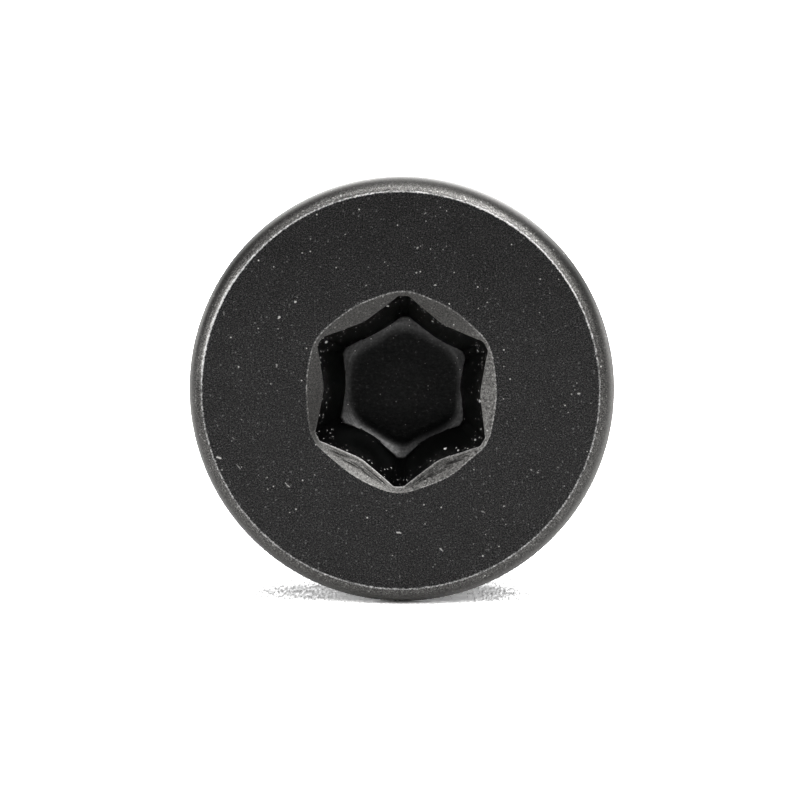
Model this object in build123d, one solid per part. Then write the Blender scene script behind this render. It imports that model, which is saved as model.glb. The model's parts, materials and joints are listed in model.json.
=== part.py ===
from build123d import *
import os
from math import sin, cos, tan, atan2, radians, degrees

# Countersunk (flat head) socket screw, metric M6, 90 degree seat, one cold-formed solid.
# All lengths in millimetres, all angles in degrees.

# ---- shank ----
THREAD_D = 6.0          # nominal (crest) diameter of the coarse M6 thread
THREAD_PITCH = 1.0      # pitch; the helix itself is too fine for this solid
LENGTH = 16.0           # overall length, face to tip, as countersunk screws are measured
NECK_D = 5.35           # thread blank diameter, left bare between seat and thread
NECK_LEN = 0.55         # bare stretch below the seat
NECK_FILLET = 0.22      # blend between seat cone and neck
RUNOUT = 0.35           # axial length over which the thread rises from the neck
TIP_CHAMFER = 0.60      # rolled-point chamfer, axial
TIP_D = 4.75            # diameter of the flat end of the point
SEAM = 93.3             # azimuth of the seam of the turned faces, seen on the face; up and out of the way

# ---- head ----
HEAD_D = 12.0           # largest diameter of the head
EDGE_W = 0.385          # radial width of the rounded edge between face and rim
EDGE_DIP = 22.0         # slope at which the rounded edge leaves the face, at a crisp corner
RIM = 0.72              # axial height of the rim, rounded edge and short cylinder together
SEAT_ANGLE = 90.0       # included angle of the countersunk seat

# ---- drive recess: six-point, concave-sided, tapered ----
RECESS_DEPTH = 2.30     # face to recess floor
TIP_R0 = 2.72           # axis to lobe tip, at the face plane
TIP_SLOPE = 0.34        # radius lost per mm of depth at a lobe tip
SIDE_R0 = 2.295         # axis to the middle of a side, at the face plane
SIDE_SLOPE = 0.283      # radius lost per mm of depth at the middle of a side
TIP_HALF_W0 = 0.142     # half width of the blunt lobe tip, at the face plane
TIP_HALF_SLOPE = 0.017  # half width lost per mm of depth
SIDE_BLEND_R0 = 1.40    # rounding in the middle of each side, at the face plane
SIDE_BLEND_SLOPE = 0.16
RECESS_TURN = -1.2      # turn of the recess about the screw axis, seen on the face
NOSE_ANGLE = 30.0       # slope of the conical step around the recess floor
FLOOR_R = 1.62          # radius of the flat recess floor
RECESS_OFF = -0.04      # the punched recess sits this much off centre, along y
ENTRY_R_SIDE = 2.728    # radius of the entry chamfer on the face, between lobes
ENTRY_R_LOBE = 2.823    # radius of the entry chamfer on the face, at a lobe
ENTRY_ANGLE = 30.0      # slope of the entry chamfer, from the face

# ---- derived ----
R = THREAD_D / 2
HR = HEAD_D / 2
EDGE_R = EDGE_W / (1 - sin(radians(EDGE_DIP)))        # radius of the rounded edge
EDGE_H = EDGE_R * cos(radians(EDGE_DIP))              # its axial height
SEAT_T = tan(radians(SEAT_ANGLE / 2))
SEAT_END = RIM + (HR - NECK_D / 2) / SEAT_T           # depth where the seat meets the neck
THREAD_TOP = SEAT_END + NECK_LEN + RUNOUT             # depth where the full thread starts
THREAD_END = LENGTH - TIP_CHAMFER                     # depth where the full thread ends

# The screw lies on the lower edge of its rim and on the end of its thread.
LIE = degrees(atan2(HR - R, THREAD_END - RIM))


def star(z):
    """Recess section at height z (0 at the face, negative below it)."""
    d = -z
    rt = TIP_R0 - TIP_SLOPE * d
    rs = SIDE_R0 - SIDE_SLOPE * d
    hw = TIP_HALF_W0 - TIP_HALF_SLOPE * d
    rb = SIDE_BLEND_R0 - SIDE_BLEND_SLOPE * d
    pts = []
    for i in range(6):
        a = radians(60 * i + 90 + RECESS_TURN)
        ca, sa = cos(a), sin(a)
        pts.append((rt * ca + hw * sa, rt * sa - hw * ca))
        pts.append((rt * ca - hw * sa, rt * sa + hw * ca))
        b = a + radians(30)
        pts.append((rs * cos(b), rs * sin(b)))
    with BuildSketch(Plane.XY.offset(z)) as sk:
        with BuildLine():
            Polyline(*pts, close=True)
        make_face()
        mids = [v for v in sk.vertices()
                if min(abs(Vector(v.X, v.Y).length - rs), 9) < 1e-4]
        fillet(mids, rb)
    return sk.sketch


def entry(z):
    """Entry chamfer section at height z: a circle drawn out a little at each lobe."""
    off = z / tan(radians(ENTRY_ANGLE))
    pts = []
    n = 48
    for i in range(n):
        a = radians(360 / n * i)
        c = cos(6 * a)
        swell = ((1 + c) / 2) ** 2.5
        rr = ENTRY_R_SIDE + (ENTRY_R_LOBE - ENTRY_R_SIDE) * swell + off
        t = a + radians(90 + RECESS_TURN)
        pts.append((rr * cos(t), rr * sin(t)))
    with BuildSketch(Plane.XY.offset(z)) as sk:
        with BuildLine():
            Spline(*pts, periodic=True)
        make_face()
    return sk.sketch


# ---- turned form of the screw, axis on Z, face at z = 0, tip down ----
with BuildPart() as blank:
    with BuildSketch(Plane.XZ) as prof:
        with BuildLine():
            l1 = Line((0, 0), (HR - EDGE_W, 0))
            a1 = RadiusArc((HR - EDGE_W, 0), (HR, -EDGE_H), EDGE_R)
            Polyline((HR, -EDGE_H),
                     (HR, -RIM),
                     (NECK_D / 2, -SEAT_END),
                     (NECK_D / 2, -(SEAT_END + NECK_LEN)),
                     (R, -THREAD_TOP),
                     (R, -THREAD_END),
                     (TIP_D / 2, -LENGTH),
                     (0, -LENGTH),
                     (0, 0))
        make_face()
        neck = [v for v in prof.vertices()
                if abs(v.X - NECK_D / 2) < 1e-6 and abs(v.Z + SEAT_END) < 1e-6]
        fillet(neck, NECK_FILLET)
    revolve(axis=Axis.Z)

# ---- recess tools ----
Z_HI = 0.30
Z_LO = -(RECESS_DEPTH + 0.20)
with BuildPart() as prism:
    loft([star(Z_HI), star(Z_LO)], ruled=True)

nose_t = tan(radians(NOSE_ANGLE))
NOSE_R = 3.4
with BuildPart() as nose:
    with BuildSketch(Plane.XZ):
        with BuildLine():
            Polyline((0, Z_HI + 0.1),
                     (NOSE_R, Z_HI + 0.1),
                     (NOSE_R, -(RECESS_DEPTH - (NOSE_R - FLOOR_R) * nose_t)),
                     (FLOOR_R, -RECESS_DEPTH),
                     (0, -RECESS_DEPTH),
                     (0, Z_HI + 0.1))
        make_face()
    revolve(axis=Axis.Z)

with BuildPart() as lead:
    loft([entry(0.12), entry(-0.60)], ruled=True)

recess = ((prism.part & nose.part) + lead.part).translate(Vector(0, RECESS_OFF, 0))
screw_up = blank.part.rotate(Axis.Z, SEAM) - recess

# ---- lay it down: face towards -Y and a little up, tip low towards +Y ----
laid = screw_up.rotate(Axis.X, 90 - LIE)
bb = laid.bounding_box()
shift = Vector(-(bb.min.X + bb.max.X) / 2, -(bb.min.Y + bb.max.Y) / 2, -bb.min.Z)
screw = laid.translate(shift)
solid = screw.solids()[0] if len(screw.solids()) == 1 else screw
solid.label = "screw"

os.makedirs("parts", exist_ok=True)
export_step(solid, "parts/screw.step")

bb = solid.bounding_box()
print("solids", len(screw.solids()), "volume", round(solid.volume, 3), "valid", solid.is_valid)
print("size", round(bb.size.X, 4), round(bb.size.Y, 4), round(bb.size.Z, 4))
print("lie angle", round(LIE, 4), "seat end", round(SEAT_END, 3), "thread", round(THREAD_TOP, 3), round(THREAD_END, 3))
print("shift", round(shift.X, 6), round(shift.Y, 6), round(shift.Z, 6))
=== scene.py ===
import json
import math

import bpy
import numpy as np
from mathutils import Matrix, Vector


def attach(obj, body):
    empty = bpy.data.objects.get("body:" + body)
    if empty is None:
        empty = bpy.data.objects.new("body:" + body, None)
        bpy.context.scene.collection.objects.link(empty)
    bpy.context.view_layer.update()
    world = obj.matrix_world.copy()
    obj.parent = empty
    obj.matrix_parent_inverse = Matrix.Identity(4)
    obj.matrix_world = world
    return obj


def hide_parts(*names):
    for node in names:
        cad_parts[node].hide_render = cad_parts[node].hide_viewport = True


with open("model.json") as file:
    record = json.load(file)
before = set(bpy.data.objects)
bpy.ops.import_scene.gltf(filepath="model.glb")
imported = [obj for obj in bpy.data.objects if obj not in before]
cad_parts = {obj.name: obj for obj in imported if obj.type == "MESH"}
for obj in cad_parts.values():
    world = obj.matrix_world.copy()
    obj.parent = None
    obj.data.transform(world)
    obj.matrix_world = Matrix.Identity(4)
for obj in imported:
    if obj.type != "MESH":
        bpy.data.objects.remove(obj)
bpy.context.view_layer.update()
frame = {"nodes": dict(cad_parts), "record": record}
rec = frame["record"]

# ------------------------------------------------------------------ sizes (mm)
# The screw's own frame: axis on z, face at z = 0, tip towards -z, x to the
# right and y up when the face is looked at.
PITCH = 1.0
LENGTH = 16.0
CREST_R = 2.985
ROOT_R = 2.392
NECK_R = 2.675
NECK_FILLET = 0.22
TIP_R = 2.375
HEAD_R = 6.0
EDGE_W, EDGE_DIP = 0.400, math.radians(22)
RIM = 0.72
SEAT_END = RIM + (HEAD_R - NECK_R)
THREAD_Z = -(SEAT_END + 0.55)

DEPTH = 2.30
TIP_R0, TIP_SLOPE = 2.72, 0.34
SIDE_R0, SIDE_SLOPE = 2.295, 0.283
HALF_W0, HALF_SLOPE = 0.142, 0.017
BLEND_R0, BLEND_SLOPE = 1.40, 0.16
TURN = -1.2
NOSE_T = math.tan(math.radians(30))
FLOOR_R = 1.62
OFF_Y = -0.04                   # the recess is punched slightly off centre
LIP_SIDE, LIP_LOBE = 2.728, 2.823
LIP_T = math.tan(math.radians(30))

# where the screw lies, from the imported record
mounts = {m["name"]: m for m in rec["mounts"]}
P0 = np.array(mounts["drive_socket"]["pos_m"], float)
EZ = np.array(mounts["drive_socket"]["axis"], float)
EZ /= np.linalg.norm(EZ)
EX = np.array([1.0, 0.0, 0.0])
EY = np.cross(EZ, EX)


def to_row(p):
    """mm in the screw's frame -> metres in the row frame."""
    p = np.asarray(p, float)
    return P0 + (p[..., 0:1] * EX + p[..., 1:2] * EY + p[..., 2:3] * EZ) * 1e-3


# ------------------------------------------------------------------ angles
half = [0, .8, 1.6, 2.2, 2.6, 2.9, 3.2, 3.6, 4.2, 5.0, 6.2, 7.8, 9.6, 11.5, 13.5, 15.5,
        17.5, 19.5, 21.5, 23.2, 24.8, 26.2, 27.5, 28.8]
sector = [-a for a in reversed(half[1:])] + half + [30.0]
off = np.array(sector * 6)                                    # degrees from the nearest lobe
TH = np.radians(np.concatenate([np.array(sector) + 90 + TURN + 60 * i for i in range(6)]))
N = len(TH)
TAU = 2 * math.pi


def near(deg, width):
    """1 at that direction, falling smoothly to 0 at width degrees from it."""
    d = np.abs((np.degrees(TH) - deg + 180) % 360 - 180)
    return (1 + np.cos(np.pi * np.clip(d / width, 0, 1))) / 2


EDGE_W = EDGE_W + 0.020 * np.cos(TH - math.radians(40))       # turned a little off centre
EDGE_R = EDGE_W / (1 - math.sin(EDGE_DIP))
EDGE_H = EDGE_R * math.cos(EDGE_DIP)


def half_section(d):
    """Half a lobe of the recess section at depth d: angle from the lobe (rad) and radius."""
    rt = TIP_R0 - TIP_SLOPE * d
    rs = SIDE_R0 - SIDE_SLOPE * d
    hw = HALF_W0 - HALF_SLOPE * d
    rb = BLEND_R0 - BLEND_SLOPE * d
    p1 = np.array([rt, hw])
    n = np.array([math.cos(math.radians(30)), math.sin(math.radians(30))])
    p2 = rs * n
    u = (p2 - p1) / np.linalg.norm(p2 - p1)
    pts = [np.array([rt, 0.0])]
    # small rounding at the corner of the blunt tip
    rc = 0.13
    v = np.array([0.0, 1.0])
    turn = math.acos(float(np.clip(np.dot(v, u), -1, 1)))
    t = rc * math.tan(turn / 2)
    t = min(t, hw * 0.9)
    rc = t / math.tan(turn / 2)
    a0 = p1 - v * t
    c = a0 + np.array([-rc, 0.0])
    for k in range(9):
        f = turn * k / 8
        pts.append(c + rc * np.array([math.cos(f), math.sin(f)]))
    # straight side, then the rounding in the middle of the side
    tang = np.array([-n[1], n[0]])
    beta = math.acos(float(np.clip(abs(np.dot(u, tang)), -1, 1)))
    cc = p2 + n * rb / math.cos(beta)
    tl = rb * math.tan(beta)
    s0, s1 = pts[-1], p2 - u * tl
    for k in range(1, 40):
        pts.append(s0 + (s1 - s0) * k / 40)
    for k in range(21):
        f = beta * (1 - k / 20)
        pts.append(cc + rb * (-n * math.cos(f) - tang * math.sin(f)))
    pts = np.array(pts)
    return np.arctan2(pts[:, 1], pts[:, 0]), np.hypot(pts[:, 0], pts[:, 1])


D_GRID = np.linspace(-0.1, 2.6, 28)
R_TAB = np.array([np.interp(np.radians(np.abs(off)), *half_section(d)) for d in D_GRID])
R_TAB -= 0.035 * near(180, 60)                                 # this side is punched a little less wide


def uneven(steps):
    """A smooth course round the recess from hundredths of a millimetre given every 15 degrees."""
    fine_ = np.interp(np.arange(360), np.arange(0, 361, 15), np.append(steps, steps[0]) / 100.0)
    k_ = np.exp(-0.5 * (np.arange(-16, 17) / 4.5) ** 2)
    fine_ = np.convolve(np.concatenate([fine_[-16:], fine_, fine_[:16]]), k_ / k_.sum(), "valid")
    return np.interp(np.degrees(TH) % 360, np.arange(361), np.append(fine_, fine_[0]))


# the punch leaves the bottom of the wall and the edge of the floor a few hundredths uneven
foot = uneven([-7, -7, 0, -3, 1, 0, 3, 1, 4, 4, 0, -1, 1, 0, -1, -4, -4, 1, 4, -8, -6, -6, -4, -2])
R_TAB += foot * np.clip((D_GRID - 0.4) / 1.6, 0, 1)[:, None]


def wall_r(d):
    """Radius of the recess wall at depth d, one value for each angle."""
    d = np.broadcast_to(np.asarray(d, float), (N,))
    f = (d - D_GRID[0]) / (D_GRID[1] - D_GRID[0])
    i = np.clip(np.floor(f).astype(int), 0, len(D_GRID) - 2)
    w = f - i
    j = np.arange(N)
    return R_TAB[i, j] * (1 - w) + R_TAB[i + 1, j] * w


swell = ((1 + np.cos(6 * np.radians(off))) / 2) ** 2.5
LIP = LIP_SIDE + (LIP_LOBE - LIP_SIDE) * swell
# the chamfer is cut a little unevenly
LIP = LIP - 0.028 * np.cos(2 * TH) - 0.018 * np.sin(TH) - 0.040 * near(233, 28) - 0.020 * near(291, 22)
LIP = LIP - 0.034 * near(184, 24) - 0.012 * near(-3, 30) - 0.040 * near(316, 16)
FLOOR = FLOOR_R + 0.045 * np.cos(6 * np.radians(off))
FLOOR += uneven([-3, -5, 0, 6, 3, 3, 3, 2, -4, 0, -4, -8, -6, -12, -12, -7, -8, -6, 0, -12, -8, -6, 0, -5])
d_mouth = np.full(N, 0.15)
d_nose = np.full(N, 2.1)
for _ in range(40):
    d_mouth = (LIP - wall_r(d_mouth)) * LIP_T
    d_nose = DEPTH - (wall_r(d_nose) - FLOOR) * NOSE_T
one = np.ones(N)

# ------------------------------------------------------------------ rings of the profile
rings = []                      # (r, z) arrays
marks = {}


def ring(r, z):
    rings.append((np.broadcast_to(np.asarray(r, float), (N,)).copy(),
                  np.broadcast_to(np.asarray(z, float), (N,)).copy()))


def corner(p0, p1, p2, rad, n, name=None):
    """Rings round the corner p1 of the profile, tangent to p0-p1 and p1-p2."""
    a = np.stack([p0[0] - p1[0], p0[1] - p1[1]], 1)
    b = np.stack([p2[0] - p1[0], p2[1] - p1[1]], 1)
    la, lb = np.linalg.norm(a, axis=1), np.linalg.norm(b, axis=1)
    a, b = a / la[:, None], b / lb[:, None]
    cosg = np.clip((a * b).sum(1), -1, 1)
    g = np.arccos(cosg)
    t = np.minimum(rad / np.tan(g / 2), 0.42 * np.minimum(la, lb))
    r = t * np.tan(g / 2)
    bis = a + b
    bis /= np.linalg.norm(bis, axis=1)[:, None]
    c = np.stack([p1[0], p1[1]], 1) + bis * (r / np.sin(g / 2))[:, None]
    pa = np.stack([p1[0], p1[1]], 1) + a * t[:, None] - c
    pb = np.stack([p1[0], p1[1]], 1) + b * t[:, None] - c
    f0 = np.arctan2(pa[:, 1], pa[:, 0])
    f1 = np.arctan2(pb[:, 1], pb[:, 0])
    df = (f1 - f0 + math.pi) % TAU - math.pi
    for k in range(n + 1):
        f = f0 + df * k / n
        if name and k == n // 2:
            marks[name] = len(rings)
        ring(c[:, 0] + r * np.cos(f), c[:, 1] + r * np.sin(f))


def straight(n, p1, first=True):
    """n rings evenly from the last ring towards p1 (p1 itself is left out)."""
    r0, z0 = rings[-1]
    for k in range(1, n + 1):
        f = k / (n + 1)
        ring(r0 + (p1[0] - r0) * f, z0 + (p1[1] - z0) * f)


# recess floor, with the shallow conical dip that the punch leaves
for r in (0.12, 0.28, 0.46, 0.66, 0.88, 1.10, 1.26):
    ring(r, -DEPTH)
w = 0.20
for k in range(9):
    x = -w + 2 * w * k / 8
    rise = NOSE_T * (x + w) ** 2 / (4 * w)
    ring(FLOOR + x, -DEPTH + rise)
marks["nose"] = len(rings) - 5
pn = (wall_r(d_nose), -d_nose)
pb = (wall_r(d_nose - 0.5), -(d_nose - 0.5))
pm = (wall_r(d_mouth), -d_mouth)
pa = (wall_r(d_mouth + 0.3), -(d_mouth + 0.3))
pl = (LIP, 0 * one)

# nose cone up to the wall
corner_rings = len(rings)
save = list(rings)
corner(save[-1], pn, pb, 0.24, 7)
nose_corner = rings[corner_rings:]
del rings[corner_rings:]
straight(3, nose_corner[0])
for q in nose_corner:
    ring(*q)
# wall
marks["wall"] = len(rings) - 3
z_start = rings[-1][1]
mouth_at = len(rings)
corner(pa, pm, pl, 0.03, 4, "mouth_")
mouth_corner = rings[mouth_at:]
del rings[mouth_at:]
zs, ze = z_start, mouth_corner[0][1]
for k in range(1, 12):
    f = k / 12
    f = f * f * (3 - 2 * f) * 0.35 + f * 0.65
    z = zs + (ze - zs) * f
    ring(wall_r(-z), z)
marks["mouth"] = len(rings) + 2
for q in mouth_corner:
    ring(*q)
# entry chamfer
lip_at = len(rings)
corner(pm, pl, (LIP + 0.4, 0 * one), 0.05, 4)
lip_corner = rings[lip_at:]
del rings[lip_at:]
straight(7, lip_corner[0])
marks["lip"] = len(rings) + 2
for q in lip_corner:
    ring(*q)
# face
r0 = rings[-1][0]
r1 = HEAD_R - EDGE_W
for f in (0.012, 0.05, 0.12, 0.22, 0.34, 0.46, 0.58, 0.70, 0.80, 0.885, 0.94, 0.975, 0.992):
    ring(r0 + (r1 - r0) * f, 0.0)
# rounded edge, rim, seat: the rounded edge leaves the face at a crisp corner
P = lambda r, z: (r * one, z * one)
marks["rim"] = len(rings) + 2
corner(P(5.3, 0.0), P(r1, 0.0), P(r1 + 0.1 * math.cos(EDGE_DIP), -0.1 * math.sin(EDGE_DIP)), 0.09, 4)
rc_ = HEAD_R - EDGE_R
for k in range(1, 15):
    f = EDGE_DIP + (math.pi / 2 - EDGE_DIP) * k / 14
    ring(rc_ + EDGE_R * math.sin(f), -EDGE_R * (math.cos(EDGE_DIP) - math.cos(f)))
ring(HEAD_R, -EDGE_H - 0.05)
corner(P(HEAD_R, -EDGE_H), P(HEAD_R, -RIM), P(NECK_R, -SEAT_END), 0.09, 4, "land")
seat_at = len(rings)
corner(P(HEAD_R, -RIM), P(NECK_R, -SEAT_END), P(NECK_R, -SEAT_END - 0.5), NECK_FILLET, 6)
seat_corner = rings[seat_at:]
del rings[seat_at:]
straight(16, seat_corner[0])
for q in seat_corner:
    ring(*q)
straight(3, P(NECK_R, THREAD_Z))

rr = np.array([q[0] for q in rings])
zz = np.array([q[1] for q in rings])
K0 = len(rings)

# ------------------------------------------------------------------ thread
# One pitch of the rolled profile: crest, 60 degree flanks, rounded root.
fl = (CREST_R - ROOT_R) * math.tan(math.radians(30))
cw = (PITCH - 2 * fl) * 0.40                # crest land
prof_u = np.linspace(0, 1, 401)
prof_r = np.interp(prof_u, [0, cw / 2, cw / 2 + fl, 1 - cw / 2 - fl, 1 - cw / 2, 1],
                   [CREST_R, CREST_R, ROOT_R, ROOT_R, CREST_R, CREST_R])
kern = np.exp(-0.5 * (np.arange(-30, 31) / 9.0) ** 2)
kern /= kern.sum()
body = prof_r[:-1]
prof_s = np.convolve(np.concatenate([body[-30:], body, body[:30]]), kern, "valid")
prof_s = np.append(prof_s, prof_s[0])
prof_s += CREST_R - prof_s.max()


def thread_r(u, z):
    """Radius of the threaded part; u is the place within the pitch, z the height."""
    r = np.interp(u % 1.0, prof_u, prof_s)
    s = np.clip((THREAD_Z - z) / 1.15, 0, 1)
    s = s * s * (3 - 2 * s)
    r = NECK_R + (r - NECK_R) * s
    # rolled point
    cone = TIP_R + (LENGTH + z) * (3.0 - TIP_R) / 0.60
    k = 0.03
    h = np.clip(0.5 + 0.5 * (cone - r) / k, 0, 1)
    return cone * (1 - h) + r * h - k * h * (1 - h)


us = np.array([0.0, .05, .10, .155, .215, .285, .355, .41, .455, .50, .545, .59, .645, .715, .785,
               .845, .90, .95])
KU = len(us)
z_top, z_end = THREAD_Z, -LENGTH
turns = int(math.ceil((z_top - z_end) / PITCH)) + 3
M = turns * KU
tcol_z = np.zeros((M, N))
for m in range(M):
    n, q = divmod(m, KU)
    tcol_z[m] = (z_top + PITCH * 1.02) - PITCH * (n + us[q]) + PITCH * (TH - TH[0]) / TAU
tcol_u = np.array([us[m % KU] for m in range(M)])

verts, S_list = [], []


def put(r, z, j, dy=0.0):
    verts.append((r * math.cos(TH[j]), r * math.sin(TH[j]) + dy, z))
    return len(verts) - 1


centre = len(verts)
verts.append((0, OFF_Y, -DEPTH))
idx = np.zeros((K0, N), int)
for k in range(K0):
    away = np.clip((rr[k] - LIP - 0.1) / 2.0, 0, 1) if k > marks["mouth"] else np.zeros(N)
    for j in range(N):
        idx[k, j] = put(rr[k, j], zz[k, j], j, OFF_Y * (1 - away[j]) if k < marks["rim"] else 0.0)
top = np.array([put(NECK_R, z_top, j) for j in range(N)])
thr = np.zeros((M, N), int)
end_ring = np.array([put(TIP_R - 0.004, z_end, j) for j in range(N)])
GAP = 0.012
for m in range(M):
    for j in range(N):
        z = tcol_z[m, j]
        if z > z_top - GAP:
            thr[m, j] = top[j]
        elif z < z_end + GAP:
            thr[m, j] = end_ring[j]
        else:
            r = float(thread_r(tcol_u[m], z))
            thr[m, j] = put(r, z, j)
tip_rings = []
for r, z in ((TIP_R - 0.03, -LENGTH), (2.20, -LENGTH + 0.012), (1.85, -LENGTH + 0.05),
             (1.35, -LENGTH + 0.085), (0.8, -LENGTH + 0.105), (0.3, -LENGTH + 0.112)):
    tip_rings.append(np.array([put(r, z, j) for j in range(N)]))
tip_c = len(verts)
verts.append((0, 0, -LENGTH + 0.113))

faces = []


def quad(a, b, c, d):
    f = []
    for v in (a, b, c, d):
        if v not in f:
            f.append(v)
    if len(f) >= 3:
        faces.append(f)


for j in range(N):
    jn = (j + 1) % N
    faces.append([centre, idx[0, j], idx[0, jn]])
    for k in range(K0 - 1):
        quad(idx[k, j], idx[k + 1, j], idx[k + 1, jn], idx[k, jn])
    quad(idx[K0 - 1, j], top[j], top[jn], idx[K0 - 1, jn])
    for m in range(M - 1):
        if jn:
            quad(thr[m, j], thr[m + 1, j], thr[m + 1, jn], thr[m, jn])
        else:
            a, b = m - KU, m + 1 - KU
            ca = top[0] if a < 0 else thr[a, 0]
            cb = top[0] if b < 0 else thr[b, 0]
            quad(thr[m, j], thr[m + 1, j], cb, ca)
    chain = [end_ring] + tip_rings
    for a, b in zip(chain[:-1], chain[1:]):
        quad(a[j], b[j], b[jn], a[jn])
    faces.append([tip_rings[-1][j], tip_c, tip_rings[-1][jn]])

verts = np.array(verts, float)
used = np.zeros(len(verts), bool)
for f in faces:
    used[f] = True
remap = np.cumsum(used) - 1
faces = [[int(remap[v]) for v in f] for f in faces]

# ------------------------------------------------------------------ distances along the profile
seg = np.hypot(np.diff(rr, axis=0), np.diff(zz, axis=0))
S = np.vstack([rr[0][None], rr[0][None] + np.cumsum(seg, axis=0)])
far = 9.0
dist = np.full((len(verts), 3), far)          # from rim edge, lip of the chamfer, mouth of the recess
zone = np.zeros((len(verts), 3))              # recess floor and nose, recess wall, chamfer
for k in range(K0):
    dist[idx[k], 0] = S[k] - S[marks["rim"]]
    dist[idx[k], 1] = S[k] - S[marks["lip"]]
    dist[idx[k], 2] = S[k] - S[marks["mouth"]]
    if k < marks["nose"] + 2:
        zone[idx[k], 0] = min(1.0, (marks["nose"] + 2 - k) / 3)
    elif marks["wall"] <= k <= marks["mouth"] - 2:
        zone[idx[k], 1] = 1
    elif marks["mouth"] - 2 < k <= marks["lip"] - 1:
        zone[idx[k], 2] = 1
dist[centre] = (-far, -far, -far)
zone[centre, 0] = 1
dist = np.clip(dist, -far, far)

me = bpy.data.meshes.new("screw_body")
me.from_pydata([tuple(p) for p in to_row(verts[used])], [], faces)
me.update()


def attribute(name, data):
    a = me.attributes.new(name, "FLOAT_VECTOR", "POINT")
    a.data.foreach_set("vector", np.asarray(data, np.float32)[used].ravel())


attribute("mm", verts)
attribute("dist", dist)
attribute("zone", zone)
me.polygons.foreach_set("use_smooth", np.ones(len(me.polygons), bool))
me.validate()
screw = bpy.data.objects.new("screw_body", me)
bpy.context.scene.collection.objects.link(screw)


# ------------------------------------------------------------------ material
class Tree:
    def __init__(self, tree):
        self.t = tree
        tree.nodes.clear()

    def add(self, kind, **props):
        n = self.t.nodes.new(kind)
        for k, v in props.items():
            setattr(n, k, v)
        return n

    def put(self, socket, value):
        if isinstance(value, bpy.types.NodeSocket):
            self.t.links.new(value, socket)
        elif value is not None:
            socket.default_value = value

    def math(self, op, a, b=None, c=None, clamp=False):
        n = self.add("ShaderNodeMath", operation=op, use_clamp=clamp)
        for s, v in zip(n.inputs, (a, b, c)):
            self.put(s, v)
        return n.outputs[0]

    def vmath(self, op, a, b=None, out=0):
        n = self.add("ShaderNodeVectorMath", operation=op)
        self.put(n.inputs[0], a)
        self.put(n.inputs[1], b)
        return n.outputs[out]

    def scale(self, v, s):
        n = self.add("ShaderNodeVectorMath", operation="SCALE")
        self.put(n.inputs[0], v)
        self.put(n.inputs["Scale"], s)
        return n.outputs[0]

    def split(self, v):
        n = self.add("ShaderNodeSeparateXYZ")
        self.put(n.inputs[0], v)
        return n.outputs

    def join(self, x, y, z):
        n = self.add("ShaderNodeCombineXYZ")
        for s, v in zip(n.inputs, (x, y, z)):
            self.put(s, v)
        return n.outputs[0]

    def noise(self, v, scale, detail=0.0, rough=0.5, lac=2.0):
        n = self.add("ShaderNodeTexNoise", noise_dimensions="3D")
        self.put(n.inputs["Vector"], v)
        n.inputs["Scale"].default_value = scale
        n.inputs["Detail"].default_value = detail
        n.inputs["Roughness"].default_value = rough
        n.inputs["Lacunarity"].default_value = lac
        return n.outputs[0]

    def noise_colour(self, v, scale):
        n = self.add("ShaderNodeTexNoise", noise_dimensions="3D")
        self.put(n.inputs["Vector"], v)
        n.inputs["Scale"].default_value = scale
        n.inputs["Detail"].default_value = 0.0
        return n.outputs[1]

    def cells(self, v, scale):
        n = self.add("ShaderNodeTexVoronoi", voronoi_dimensions="3D", feature="F1")
        self.put(n.inputs["Vector"], v)
        n.inputs["Scale"].default_value = scale
        return n.outputs["Distance"], n.outputs["Color"]

    def ramp(self, v, a, b, lo=0.0, hi=1.0):
        n = self.add("ShaderNodeMapRange", interpolation_type="SMOOTHSTEP")
        self.put(n.inputs["Value"], v)
        for k, x in zip(("From Min", "From Max", "To Min", "To Max"), (a, b, lo, hi)):
            self.put(n.inputs[k], x)
        return n.outputs[0]

    def mix(self, f, a, b):
        """a + (b - a) f for numbers."""
        n = self.add("ShaderNodeMix", data_type="FLOAT")
        n.clamp_factor = True
        self.put(n.inputs[0], f)
        self.put(n.inputs[2], a)
        self.put(n.inputs[3], b)
        return n.outputs[0]

    def cmix(self, f, a, b):
        n = self.add("ShaderNodeMix", data_type="RGBA")
        self.put(n.inputs[0], f)
        self.put(n.inputs[6], a)
        self.put(n.inputs[7], b)
        return n.outputs[2]

    def band(self, v, centre_, width):
        """1 at centre_, falling smoothly to 0 at width either side."""
        d = self.math("ABSOLUTE", self.math("SUBTRACT", v, centre_))
        return self.ramp(d, 0.0, width, 1.0, 0.0)


mat = bpy.data.materials.new("black_oxide")
mat.use_nodes = True
T = Tree(mat.node_tree)
out = T.add("ShaderNodeOutputMaterial")
bsdf = T.add("ShaderNodeBsdfPrincipled")
T.t.links.new(bsdf.outputs[0], out.inputs[0])

mm = T.add("ShaderNodeAttribute", attribute_name="mm").outputs["Vector"]
ds = T.split(T.add("ShaderNodeAttribute", attribute_name="dist").outputs["Vector"])
zn = T.split(T.add("ShaderNodeAttribute", attribute_name="zone").outputs["Vector"])
x, y, z = T.split(mm)
rad = T.math("SQRT", T.math("ADD", T.math("MULTIPLY", x, x), T.math("MULTIPLY", y, y)))
ang = T.math("ARCTAN2", y, x)
s_rim, s_lip, s_mouth = ds
z_floor, z_wall, z_chamfer = zn
inside = T.ramp(z, -0.40, -0.9, 0.0, 1.0)
inside = T.math("MULTIPLY", inside, T.ramp(rad, 2.8, 2.9, 1.0, 0.0))
inside = T.math("MULTIPLY", inside, T.ramp(z, -2.6, -2.4))

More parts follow.
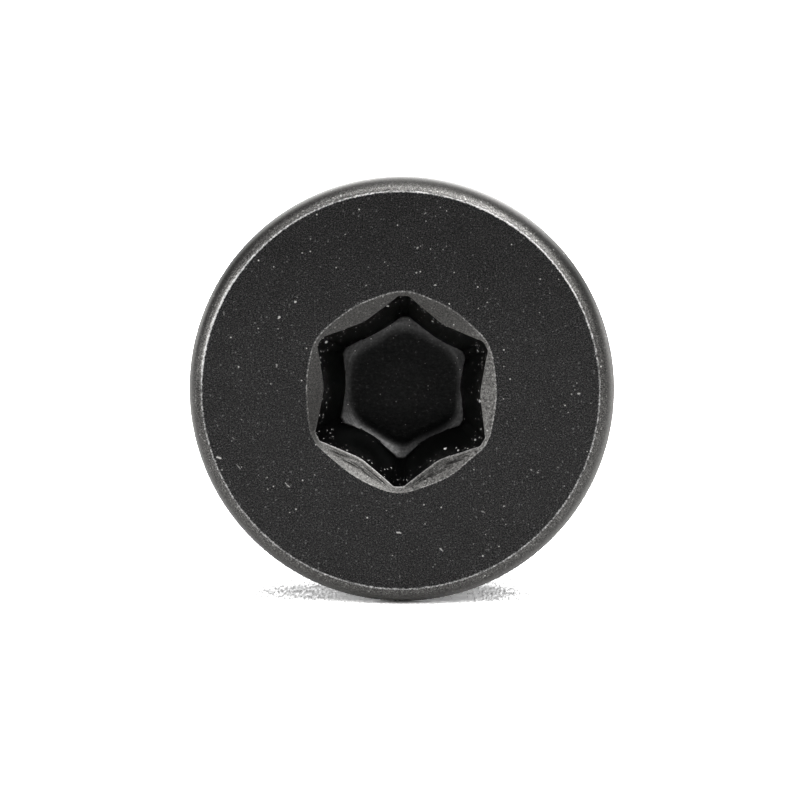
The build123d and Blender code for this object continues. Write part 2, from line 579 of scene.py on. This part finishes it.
# grain of the oxide: fine, finer, and slow cloudiness
grain = T.noise(mm, 22.0, 1.0, 0.7)
fine = T.noise(mm, 48.0, 0.0)
cloud = T.noise(mm, 1.1, 3.0, 0.55)
g = T.math("ADD", T.math("MULTIPLY", T.math("SUBTRACT", grain, 0.5), 1.0),
           T.math("MULTIPLY", T.math("SUBTRACT", fine, 0.5), 0.9))

# edges rubbed bare: the line round the face, the lip and the mouth of the recess, the rim's lower edge,
# the thread crests and the point; the line round the face also carries a painted highlight, stronger at the top and
# near 157 and 48 degrees
spark = T.ramp(T.noise(mm, 30.0, 1.0, 0.8), 0.38, 0.64)
wander = T.math("MULTIPLY", T.math("SUBTRACT", T.noise(mm, 14.0, 3.0, 0.7), 0.5), 0.095)
s_line = T.math("ADD", s_rim, wander)
dashes = T.ramp(T.noise(T.vmath("ADD", mm, (5.5, 2.1, 0.4)), 11.0, 2.0, 0.75), 0.40, 0.62)
beads = T.ramp(T.noise(T.vmath("ADD", mm, (3.1, 0.7, 5.2)), 15.0, 1.0, 0.8), 0.47, 0.64)
lip_line = T.band(T.math("ADD", s_lip, T.math("MULTIPLY", wander, 0.30)), -0.012, 0.036)


def toward(deg):
    """1 along that direction in the face, 0 across it, -1 against it."""
    a = math.radians(deg)
    return T.vmath("DOT_PRODUCT", T.vmath("NORMALIZE", T.join(x, y, 0.0)), (math.cos(a), math.sin(a), 0.0),
                   out="Value")


# painted highlight: the line round the face is drawn wider near 160 degrees
broad = T.math("MULTIPLY", T.ramp(toward(160), 0.95, 0.985), 0.018)
rim_line = T.math("MULTIPLY", T.ramp(s_line, -0.032, -0.012),
                  T.ramp(T.math("SUBTRACT", s_line, broad), 0.012, 0.032, 1.0, 0.0))
low = T.ramp(toward(-91), 0.30, 0.60)
low_left = T.ramp(toward(-121), 0.80, 0.92)
right = T.ramp(toward(-8), 0.70, 0.90)
mouth_line = T.math("MULTIPLY", T.band(s_mouth, 0.008, 0.032), T.math("ADD", T.math("MULTIPLY", low, 0.9), 0.1))
land_line = T.band(s_rim, 0.87, 0.10)
below = T.ramp(z, -4.3, -5.4, 0.0, 1.0)
crest = T.math("MULTIPLY", T.ramp(rad, 2.88, 2.975), below)
point = T.math("MULTIPLY", T.band(T.math("ADD", z, rad), -13.62, 0.06), below)
point2 = T.math("MULTIPLY", T.band(rad, 2.375, 0.06), T.ramp(z, -15.9, -15.97))


def worn_by(mask, sparkle, steady):
    return T.math("MULTIPLY", mask, T.math("ADD", T.math("MULTIPLY", spark, sparkle), steady))


# painted highlight on the line round the face: lighter towards the top (upper) and near 157 and 48 degrees (bright),
# with its dashes denser at the top
upper = T.ramp(toward(95), -0.10, 0.50)
bright = T.math("MAXIMUM", T.ramp(toward(157), 0.90, 0.975),
                T.math("MULTIPLY", T.ramp(toward(48), 0.86, 0.97), 0.8))
grit = T.ramp(T.noise(T.vmath("ADD", mm, (1.5, 6.1, 3.4)), 19.0, 1.0, 0.8), 0.40, 0.66)
painted_highlight = T.math("ADD", T.math("MULTIPLY", bright, 0.45), T.math("MULTIPLY", upper, 0.20), clamp=True)
broken = T.math("ADD", T.math("MULTIPLY", dashes, T.math("ADD", T.math("MULTIPLY", upper, 0.50), 0.30)),
                T.math("MULTIPLY", grit, T.math("SUBTRACT", 0.50, T.math("MULTIPLY", upper, 0.25))))
wear_and_highlight = T.math("MULTIPLY", rim_line, T.math("ADD", T.math("ADD", broken, 0.04), painted_highlight, clamp=True))
lip_line = T.math("MULTIPLY", lip_line, T.ramp(toward(-121), 0.65, 0.88, 1.0, 0.30))
wear_and_highlight = T.math("MAXIMUM", wear_and_highlight, T.math("MULTIPLY", lip_line, T.math("ADD", T.math("MULTIPLY", beads, 0.62), 0.08)))
for mask, sparkle, steady in ((mouth_line, 0.45, 0.16),
                              (land_line, 0.55, 0.0), (crest, 0.35, 0.12), (point, 0.6, 0.0),
                              (point2, 0.6, 0.0)):
    wear_and_highlight = T.math("MAXIMUM", wear_and_highlight, worn_by(mask, sparkle, steady))

# tool marks: along the lower part of the chamfer, and a mottled grain on the right
cut_side = T.math("MULTIPLY", T.ramp(toward(-50), -0.25, 0.25), z_chamfer)
along = T.join(T.math("MULTIPLY", s_mouth, 26.0), T.math("MULTIPLY", T.math("COSINE", ang), 4.0),
               T.math("MULTIPLY", T.math("SINE", ang), 4.0))
streak = T.math("SUBTRACT", T.noise(along, 1.0, 2.0, 0.6), 0.5)
cham_w = T.math("MAXIMUM", T.math("SUBTRACT", s_mouth, s_lip), 0.02)
part = T.math("DIVIDE", s_mouth, cham_w)
inner = T.math("MULTIPLY", T.ramp(s_mouth, 0.04, 0.10), T.ramp(part, 0.50, 0.70, 1.0, 0.0))
inner = T.math("MULTIPLY", inner, T.ramp(cham_w, 0.22, 0.42))
streak = T.math("MULTIPLY", streak, T.math("MULTIPLY", T.math("MULTIPLY", low, z_chamfer),
                                           T.math("ADD", T.math("MULTIPLY", inner, 0.85), 0.15)))
mottle = T.math("SUBTRACT", T.noise(mm, 13.0, 1.0, 0.6), 0.5)
mottle = T.math("MULTIPLY", mottle, T.math("MULTIPLY", cut_side, T.math("SUBTRACT", 1.0, T.math("MULTIPLY", low_left, 0.75))))
turned = T.join(T.math("MULTIPLY", rad, 16.0), T.math("MULTIPLY", T.math("COSINE", ang), 1.2),
                T.math("MULTIPLY", T.math("SINE", ang), 1.2))
rings_ = T.math("SUBTRACT", T.noise(turned, 1.0, 2.0, 0.6), 0.5)
rings_ = T.math("MULTIPLY", rings_, z_floor)

# dust: tiny pale specks, thick on the upper part of the recess wall, thin elsewhere
near_mouth = T.math("MULTIPLY", z_wall, T.ramp(z, -1.25, -0.35))


def specks(v, scale, rate, small, spread, soft):
    d, c = T.cells(v, scale)
    pick, size, _ = T.split(c)
    on = T.math("LESS_THAN", pick, rate)
    lim = T.math("ADD", small, T.math("MULTIPLY", T.math("MULTIPLY", size, size), spread))
    return T.math("MULTIPLY", T.math("MULTIPLY", on, T.ramp(T.math("SUBTRACT", d, lim), -soft, soft, 1.0, 0.0)),
                  T.math("ADD", 0.30, T.math("MULTIPLY", size, 0.65)))


speck = specks(mm, 7.5, T.math("ADD", 0.065, T.math("MULTIPLY", near_mouth, 0.50)), 0.055, 0.135, 0.045)
speck = T.math("MAXIMUM", speck, specks(T.vmath("ADD", mm, (2.3, 4.1, 1.7)), 11.0,
                                        T.math("ADD", 0.035, T.math("MULTIPLY", near_mouth, 0.50)), 0.09, 0.18, 0.06))
speck = T.math("MULTIPLY", speck, T.math("SUBTRACT", 1.0, T.math("MULTIPLY", z_floor, 0.8)))
# fibres: the same with cells drawn out, in two directions
f1, c1 = T.cells(T.vmath("MULTIPLY", mm, (4.2, 0.9, 4.2)), 1.0)
f2, c2 = T.cells(T.vmath("MULTIPLY", T.join(T.math("ADD", x, T.math("MULTIPLY", y, 0.8)),
                                            T.math("SUBTRACT", y, T.math("MULTIPLY", x, 0.8)), z), (3.6, 0.8, 3.6)), 1.0)
fib = T.math("MAXIMUM",
             T.math("MULTIPLY", T.math("LESS_THAN", T.split(c1)[0], 0.035), T.ramp(f1, 0.06, 0.10, 1.0, 0.0)),
             T.math("MULTIPLY", T.math("LESS_THAN", T.split(c2)[0], 0.035), T.ramp(f2, 0.06, 0.10, 1.0, 0.0)))
dust = T.math("MAXIMUM", speck, T.math("MULTIPLY", fib, 0.50))
# the largest crumbs and hairs on the face: x, y, direction, half length, half width, strength
CRUMBS = [
    (-0.03, -4.02, -12, 0.062, 0.024, 1.00), (-2.98, 2.46, 0, 0.010, 0.036, 1.00), (0.94, 2.97, 20, 0.010, 0.032, 0.80),
    (1.17, -4.49, -47, 0.050, 0.022, 0.75), (-3.50, 0.67, 84, 0.040, 0.022, 0.60), (-3.44, 2.02, 60, 0.010, 0.032, 0.90),
    (5.00, -0.05, 10, 0.012, 0.030, 0.80), (4.79, -0.06, -50, 0.012, 0.024, 0.60), (-3.18, -2.70, -45, 0.085, 0.013, 0.85),
    (0.43, 4.01, 40, 0.006, 0.028, 0.75), (-1.00, 2.94, 45, 0.006, 0.028, 0.60), (3.67, -2.21, -45, 0.006, 0.028, 0.65),
    (2.35, -3.41, -35, 0.055, 0.015, 0.60), (-2.41, -2.41, -45, 0.006, 0.026, 0.60), (0.64, 4.97, 35, 0.025, 0.018, 0.55),
    (-5.12, -1.95, -25, 0.052, 0.032, 1.00), (-4.56, -2.20, -45, 0.080, 0.012, 0.45), (2.92, -3.24, 0, 0.022, 0.016, 0.80),
]
flat = T.join(x, y, 0.0)
ruffle = T.vmath("SUBTRACT", T.noise_colour(mm, 16.0), (0.5, 0.5, 0.5))
flat = T.vmath("ADD", flat, T.vmath("MULTIPLY", ruffle, (0.05, 0.05, 0.0)))
crumb = None
for cx_, cy_, deg, half_, wide_, strong in CRUMBS:
    a = math.radians(deg)
    v = T.vmath("SUBTRACT", flat, (cx_, cy_, 0.0))
    u1 = T.math("ABSOLUTE", T.vmath("DOT_PRODUCT", v, (math.cos(a), math.sin(a), 0.0), out="Value"))
    u2 = T.vmath("DOT_PRODUCT", v, (-math.sin(a), math.cos(a), 0.0), out="Value")
    d = T.vmath("LENGTH", T.join(T.math("MAXIMUM", T.math("SUBTRACT", u1, half_), 0.0), u2, 0.0), out="Value")
    m = T.ramp(d, wide_ * 0.35, wide_ * 1.15, strong * 0.85, 0.0)
    crumb = m if crumb is None else T.math("MAXIMUM", crumb, m)
crumb = T.math("MULTIPLY", crumb, T.ramp(z, -0.10, -0.05))
wallv = T.vmath("MULTIPLY", T.vmath("ADD", mm, (4.4, 0.3, 2.2)), (1.0, 1.0, 0.32))
on_wall = specks(wallv, 8.0, T.math("MULTIPLY", near_mouth, 0.20), 0.16, 0.26, 0.10)
dust = T.math("MAXIMUM", dust, T.math("MAXIMUM", crumb, on_wall))
# a thin pale film on the walls near the mouth, between the lobes, fainter at the top: it lightens the walls there
sixth = T.math("COSINE", T.math("MULTIPLY", T.math("SUBTRACT", ang, math.radians(90 + TURN)), 6.0))
film = T.math("MULTIPLY", T.math("MULTIPLY", near_mouth, T.ramp(sixth, 0.2, -0.8)), T.ramp(T.noise(mm, 6.0, 2.0, 0.6), 0.30, 0.70, 0.01, 0.06))
film = T.math("MULTIPLY", film, T.ramp(toward(105), 0.50, 0.90, 1.0, 0.25))
dust = T.math("MAXIMUM", dust, film)

# colour: dark oxide over steel; the tone also carries painted shade in the recess and towards the top of the face, and
# painted highlights and reflections round the rim
z_nose = T.math("SUBTRACT", inside, T.math("ADD", z_floor, z_wall), clamp=True)
smooth = T.math("SUBTRACT", 1.0, T.math("ADD", T.math("MULTIPLY", z_chamfer, 0.50),
                                        T.math("MULTIPLY", inside, 0.85)), clamp=True)
round_edge = T.math("MULTIPLY", T.ramp(s_rim, 0.0, 0.05), T.ramp(s_rim, 0.60, 0.90, 1.0, 0.0))
smooth = T.math("MULTIPLY", smooth, T.math("SUBTRACT", 1.0, T.math("MULTIPLY", round_edge, T.ramp(s_rim, 0.12, 0.40, 0.15, 0.75))))
g = T.math("MULTIPLY", g, smooth)
tone = T.math("POWER", 36.0, g)
glint = specks(T.vmath("ADD", mm, (7.3, 1.9, 4.4)), 14.0, 0.20, 0.10, 0.30, 0.14)
tone = T.math("ADD", tone, T.math("MULTIPLY", T.math("MULTIPLY", glint, smooth), 2.6))
tone = T.math("MULTIPLY", tone, T.ramp(cloud, 0.3, 0.7, 0.97, 1.03))


def times(k, v):
    """The tone is changed by the fraction k of v."""
    return T.math("MULTIPLY", tone, T.math("MAXIMUM", T.math("ADD", 1.0, T.math("MULTIPLY", v, k)), 0.08))


tone = times(5.0, streak)
tone = times(2.6, mottle)
tone = times(-0.52, T.math("MULTIPLY", T.math("MULTIPLY", inner, low), z_chamfer))
marks_ = T.noise(T.vmath("MULTIPLY", mm, (9.0, 13.0, 9.0)), 1.0, 1.0, 0.6)
tone = times(1.0, T.math("MULTIPLY", T.math("ADD", T.math("SUBTRACT", T.math("POWER", 3.0, T.math("SUBTRACT", marks_, 0.5)), 1.0),
                                       T.ramp(marks_, 0.64, 0.82, 0.0, 1.1)), z_floor))
tone = times(0.15, rings_)
tone = times(0.10, z_chamfer)
# a band just inside the rounded edge is lighter: a little all round, with a painted highlight stronger towards the top
# and near 160 degrees
edge_band = T.math("MULTIPLY", T.ramp(s_rim, 0.01, 0.05), T.ramp(s_rim, 0.12, 0.20, 1.0, 0.0))
tone = times(1.0, T.math("MULTIPLY", edge_band, T.math("ADD", 0.12, T.math("MULTIPLY", upper, 0.34))))
tone = times(1.1, T.math("MULTIPLY", edge_band, T.ramp(toward(160), 0.93, 0.985)))
# painted reflection of the bright surroundings on the outer part of the rounded edge, weaker at the top
outer_rim = T.math("MULTIPLY", T.ramp(s_rim, 0.26, 0.50), T.ramp(s_rim, 0.75, 1.0, 1.0, 0.0))
tone = times(1.0, T.math("MULTIPLY", outer_rim, T.math("SUBTRACT", 1.05, T.math("MULTIPLY", upper, 0.70))))
tone = times(-0.24, T.math("MULTIPLY", T.ramp(toward(-122), 0.75, 0.92), z_chamfer))
# painted shade: the face is darker towards the top
on_face = T.math("MULTIPLY", T.math("MULTIPLY", T.ramp(s_rim, -0.03, 0.0, 1.0, 0.0), T.ramp(s_lip, 0.02, 0.06)), T.ramp(y, 0.5, 5.0))
tone = times(-0.17, on_face)
# painted shade on the recess walls: darker towards the top and towards the lower left
tone = times(-0.62, T.math("MULTIPLY", T.ramp(toward(92), 0.45, 0.85), z_wall))
tone = times(-0.84, T.math("MULTIPLY", T.ramp(toward(238), 0.70, 0.92), z_wall))
tone = times(0.55, cut_side)
tone = times(0.28, round_edge)
# painted shade on the floor of the recess: darker overall and towards the bottom, a little lighter at the centre
tone = times(-0.62, z_floor)
tone = times(0.22, T.math("MULTIPLY", T.ramp(rad, 1.0, 0.4), z_floor))
tone = times(-0.36, T.math("MULTIPLY", T.ramp(y, -0.4, -1.3), z_floor))
tone = times(0.16, T.math("MULTIPLY", right, z_chamfer))
# painted shade: the recess walls darker all round
tone = times(-0.42, z_wall)
# painted shade on the nose of the recess: a little darker all round and darker towards 244, 140 and 52 degrees; the two
# noises after it are its grain
tone = times(-0.04, z_nose)
tone = times(-0.12, T.math("MULTIPLY", T.ramp(toward(244), 0.85, 0.95), z_nose))
tone = times(-0.25, T.math("MULTIPLY", T.ramp(toward(140), 0.85, 0.97), z_nose))
tone = times(-0.30, T.math("MULTIPLY", T.ramp(toward(52), 0.92, 0.985), z_nose))
levels = T.join(T.math("MULTIPLY", z, 34.0), T.math("MULTIPLY", T.math("COSINE", ang), 3.5),
                T.math("MULTIPLY", T.math("SINE", ang), 3.5))
tone = times(1.5, T.math("MULTIPLY", T.math("SUBTRACT", T.noise(levels, 1.0, 2.0, 0.65), 0.5), z_nose))
tone = times(1.6, T.math("MULTIPLY", T.math("SUBTRACT", T.noise(mm, 10.0, 2.0, 0.65), 0.5), z_nose))
# more painted shade on the nose, towards 306 and 12 degrees
tone = times(-0.40, T.math("MULTIPLY", T.ramp(toward(306), 0.80, 0.95), z_nose))
tone = times(-0.40, T.math("MULTIPLY", T.ramp(toward(12), 0.90, 0.98), z_nose))
# painted shade: a narrow band just outside the line at the upper left is darker, keeping the painted highlight there
# thin
outside = T.math("MULTIPLY", T.ramp(s_rim, 0.045, 0.110), T.ramp(s_rim, 0.130, 0.185, 1.0, 0.0))
tone = times(-0.60, T.math("MULTIPLY", T.ramp(toward(157), 0.70, 1.0), outside))
oxide = T.cmix(T.math("MAXIMUM", z_chamfer, round_edge), T.scale((0.0625, 0.0623, 0.0621), tone), T.scale((0.0650, 0.0637, 0.0613), tone))
# bare steel where rubbed through, paler on the line round the face, partly as a painted highlight
bare_steel_and_highlight = T.cmix(T.math("MULTIPLY", rim_line, 1.0), (0.62, 0.61, 0.60, 1.0), (0.92, 0.91, 0.90, 1.0))
worn_and_highlit = T.cmix(wear_and_highlight, oxide, bare_steel_and_highlight)
# dust colour, paler on the recess walls: painted light where little light reaches them
pale = T.cmix(z_wall, (0.70, 0.69, 0.67, 1.0), (0.98, 0.97, 0.95, 1.0))
col = T.cmix(dust, worn_and_highlit, pale)
T.put(bsdf.inputs["Base Color"], col)
T.put(bsdf.inputs["Metallic"], T.math("SUBTRACT", 1.0, T.math("MULTIPLY", dust, 0.95)))
ro = T.math("ADD", 0.36, T.math("MULTIPLY", g, 0.10))
ro = T.math("ADD", ro, T.math("MULTIPLY", T.math("SUBTRACT", cloud, 0.5), 0.06))
ro = T.mix(wear_and_highlight, ro, 0.55)
ro = T.mix(dust, ro, 0.9)
T.put(bsdf.inputs["Roughness"], ro)
bump = T.add("ShaderNodeBump")
bump.inputs["Strength"].default_value = 0.5
bump.inputs["Distance"].default_value = 8e-6
h = T.math("ADD", T.math("MULTIPLY", g, 1.0), T.math("MULTIPLY", streak, 2.0))
h = T.math("ADD", h, T.math("MULTIPLY", rings_, 0.5))
T.put(bump.inputs["Height"], h)
T.put(bsdf.inputs["Normal"], bump.outputs[0])
me.materials.append(mat)

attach(screw, "root")
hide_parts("screw")

# the hidden CAD node wears the same finish
cad = frame["nodes"]["screw"]
cad.data.materials.clear()
cad.data.materials.append(mat)

# ------------------------------------------------------------------ floor
fm = bpy.data.meshes.new("floor")
e = 3.0
fm.from_pydata([(-e, -e, 0), (e, -e, 0), (e, e, 0), (-e, e, 0)], [], [(0, 1, 2, 3)])
floor = bpy.data.objects.new("floor", fm)
bpy.context.scene.collection.objects.link(floor)
fmat = bpy.data.materials.new("pale_floor")
fmat.use_nodes = True
F = Tree(fmat.node_tree)
fo = F.add("ShaderNodeOutputMaterial")
lp = F.add("ShaderNodeLightPath")
d1 = F.add("ShaderNodeBsdfDiffuse")
d1.inputs["Color"].default_value = (0.8, 0.8, 0.8, 1)
d2 = F.add("ShaderNodeBsdfDiffuse")
place = F.add("ShaderNodeTexCoord").outputs["Object"]
paper = F.noise(F.vmath("MULTIPLY", place, (1.0, 0.27, 1.0)), 14500.0, 1.0, 0.8)
px_, py_, _ = F.split(place)
back_ = F.math("SUBTRACT", py_, float(P0[1]) - 0.0005)
aside = F.math("ABSOLUTE", px_)
# painted shadow under the head, in the floor's colour for camera rays only: a flat spindle, darker on the right,
# grained like paper towards its ends, with a fainter painted shadow kept under the shank
lift = F.math("SUBTRACT", F.math("SUBTRACT", back_, F.math("MULTIPLY", px_, 0.015)), 0.0007)
lift = F.math("MAXIMUM", F.math("DIVIDE", lift, 0.0011), F.math("DIVIDE", lift, -0.0016))
off_ = F.math("ADD", px_, 0.0001)
off_ = F.math("MAXIMUM", F.math("DIVIDE", off_, 0.0046), F.math("DIVIDE", off_, -0.0052))
spindle = F.vmath("LENGTH", F.join(off_, lift, 0.0), out="Value")
shade = F.ramp(px_, 0.0002, 0.0014, 0.68, 0.51)
shade = F.math("MULTIPLY", shade, F.ramp(px_, 0.0024, 0.0044, 1.0, 1.38))
shade = F.math("MULTIPLY", shade, F.ramp(px_, -0.0024, -0.0044, 1.0, 1.12))
shade = F.math("MULTIPLY", shade, F.ramp(aside, 0.0040, 0.0060, 1.0, 1.5))
shank = F.math("MULTIPLY", F.ramp(back_, 0.0024, 0.0036), F.ramp(aside, 0.0022, 0.0034, 1.0, 0.0))
open_ = F.math("MINIMUM", F.ramp(back_, 0.0045, 0.0080, 2.6, 1.3), F.math("SUBTRACT", 2.6, F.math("MULTIPLY", shank, 1.3)))
shade = F.math("MULTIPLY", shade, F.ramp(spindle, 0.66, 1.06, 1.0, open_))
shade = F.math("MULTIPLY", shade, F.ramp(back_, 0.0001, -0.0004, 1.0, 2.4))
rough_ = F.math("MULTIPLY", F.ramp(aside, 0.0014, 0.0032, 1.8, 4.2),
                F.math("MULTIPLY", F.ramp(aside, 0.0045, 0.0065, 1.0, 0.0), F.ramp(back_, 0.0032, 0.0060, 1.0, 0.0)))
paper = F.math("EXPONENT", F.math("MULTIPLY", F.math("SUBTRACT", paper, 0.5), rough_))
F.put(d2.inputs["Color"], F.scale((1.0, 1.0, 1.0), F.math("MULTIPLY", F.math("MULTIPLY", shade, paper), 2.2)))
ms = F.add("ShaderNodeMixShader")
F.t.links.new(lp.outputs["Is Camera Ray"], ms.inputs[0])
F.t.links.new(d1.outputs[0], ms.inputs[1])
F.t.links.new(d2.outputs[0], ms.inputs[2])
F.t.links.new(ms.outputs[0], fo.inputs[0])
fm.materials.append(fmat)

# ------------------------------------------------------------------ light
world = bpy.data.worlds.new("studio")
bpy.context.scene.world = world
world.use_nodes = True
W = Tree(world.node_tree)
wo = W.add("ShaderNodeOutputWorld")
bg = W.add("ShaderNodeBackground")
bw = W.add("ShaderNodeBackground")
bw.inputs["Color"].default_value = (1, 1, 1, 1)
bw.inputs["Strength"].default_value = 1.2
wm = W.add("ShaderNodeMixShader")
wl = W.add("ShaderNodeLightPath")
W.t.links.new(wl.outputs["Is Camera Ray"], wm.inputs[0])
W.t.links.new(bg.outputs[0], wm.inputs[1])
W.t.links.new(bw.outputs[0], wm.inputs[2])
W.t.links.new(wm.outputs[0], wo.inputs[0])
dirn = W.add("ShaderNodeTexCoord").outputs["Generated"]
# soft patches of light round the screw: degrees off the line the face looks along, degrees round
# that line (0 right, 90 up), half width in degrees and radiance
BOXES = [
    (56, 0, 20, 0.40),
    (56, 30, 20, 1.92),
    (56, 60, 20, 6.81),
    (56, 120, 20, 0.58),
    (56, 150, 20, 1.99),
    (56, 180, 20, 1.04),
    (67, 60, 14, 1.29),
    (67, 75, 14, 3.17),
    (67, 90, 14, 2.72),
    (67, 105, 14, 3.27),
    (67, 120, 14, 0.81),
    (67, 135, 14, 1.11),
    (78, 0, 22, 0.17),
    (78, 30, 22, 0.55),
    (78, 90, 22, 1.78),
    (78, 150, 22, 0.45),
    (78, 180, 22, 1.46),
    (102, 0, 24, 1.24),
    (102, 60, 24, 0.58),
    (102, 90, 24, 0.50),
    (102, 120, 24, 0.27),
    (118, 90, 18, 1.27),
    (118, 180, 18, 0.09),
    (130, 0, 26, 3.35),
    (130, 60, 26, 2.83),
    (130, 120, 26, 2.53),
    (130, 180, 26, 3.90),
    (155, 90, 28, 3.81),
]
total = 0.0
for off_axis, round_, wide, power in BOXES:
    b, a = math.radians(off_axis), math.radians(round_)
    v = EZ * math.cos(b) + (EX * math.cos(a) + EY * math.sin(a)) * math.sin(b)
    dot = W.vmath("DOT_PRODUCT", dirn, tuple(v), out="Value")
    lobe = W.ramp(dot, math.cos(math.radians(wide)), math.cos(math.radians(2)), 0.0, power)
    total = W.math("ADD", total, lobe)
W.put(bg.inputs["Strength"], total)
bg.inputs["Color"].default_value = (1, 1, 1, 1)

# ------------------------------------------------------------------ camera
AX, AY = math.radians(1.85), math.radians(3.75)
back = EZ + math.tan(AX) * EX + math.tan(AY) * EY
back /= np.linalg.norm(back)
DIST = 0.150
LENS_PX = 35.59 * DIST * 1e3
pos = P0 + back * DIST
cam_data = bpy.data.cameras.new("camera")
cam = bpy.data.objects.new("camera", cam_data)
bpy.context.scene.collection.objects.link(cam)
cam_data.sensor_width = 36.0
cam_data.lens = LENS_PX / 800 * 36
cam_data.clip_start = 0.005
cam_data.clip_end = 20.0
cam.rotation_mode = "QUATERNION"
cam.location = Vector(pos)

# aim so that the head's outline is centred a little right of and above the middle of the frame
WANT = (401.70, 388.80)
aim = P0.copy()
ringp = to_row(np.stack([HEAD_R * np.cos(TH), HEAD_R * np.sin(TH), np.full(N, -0.42)], 1))
for _ in range(6):
    fwd = Vector(aim - pos).normalized()
    q = fwd.to_track_quat("-Z", "Y")
    m3 = np.array(q.to_matrix())
    loc = (ringp - pos) @ m3
    px = 400 + LENS_PX * loc[:, 0] / -loc[:, 2]
    py = 400 - LENS_PX * loc[:, 1] / -loc[:, 2]
    cx, cy = (px.min() + px.max()) / 2, (py.min() + py.max()) / 2
    aim = aim + (m3[:, 0] * (cx - WANT[0]) - m3[:, 1] * (cy - WANT[1])) / 35.25e3
cam.rotation_quaternion = q
bpy.context.scene.camera = cam

sc = bpy.context.scene
sc.view_settings.view_transform = "Standard"
sc.view_settings.look = "None"
sc.view_settings.exposure = 0.0
sc.view_settings.gamma = 1.0
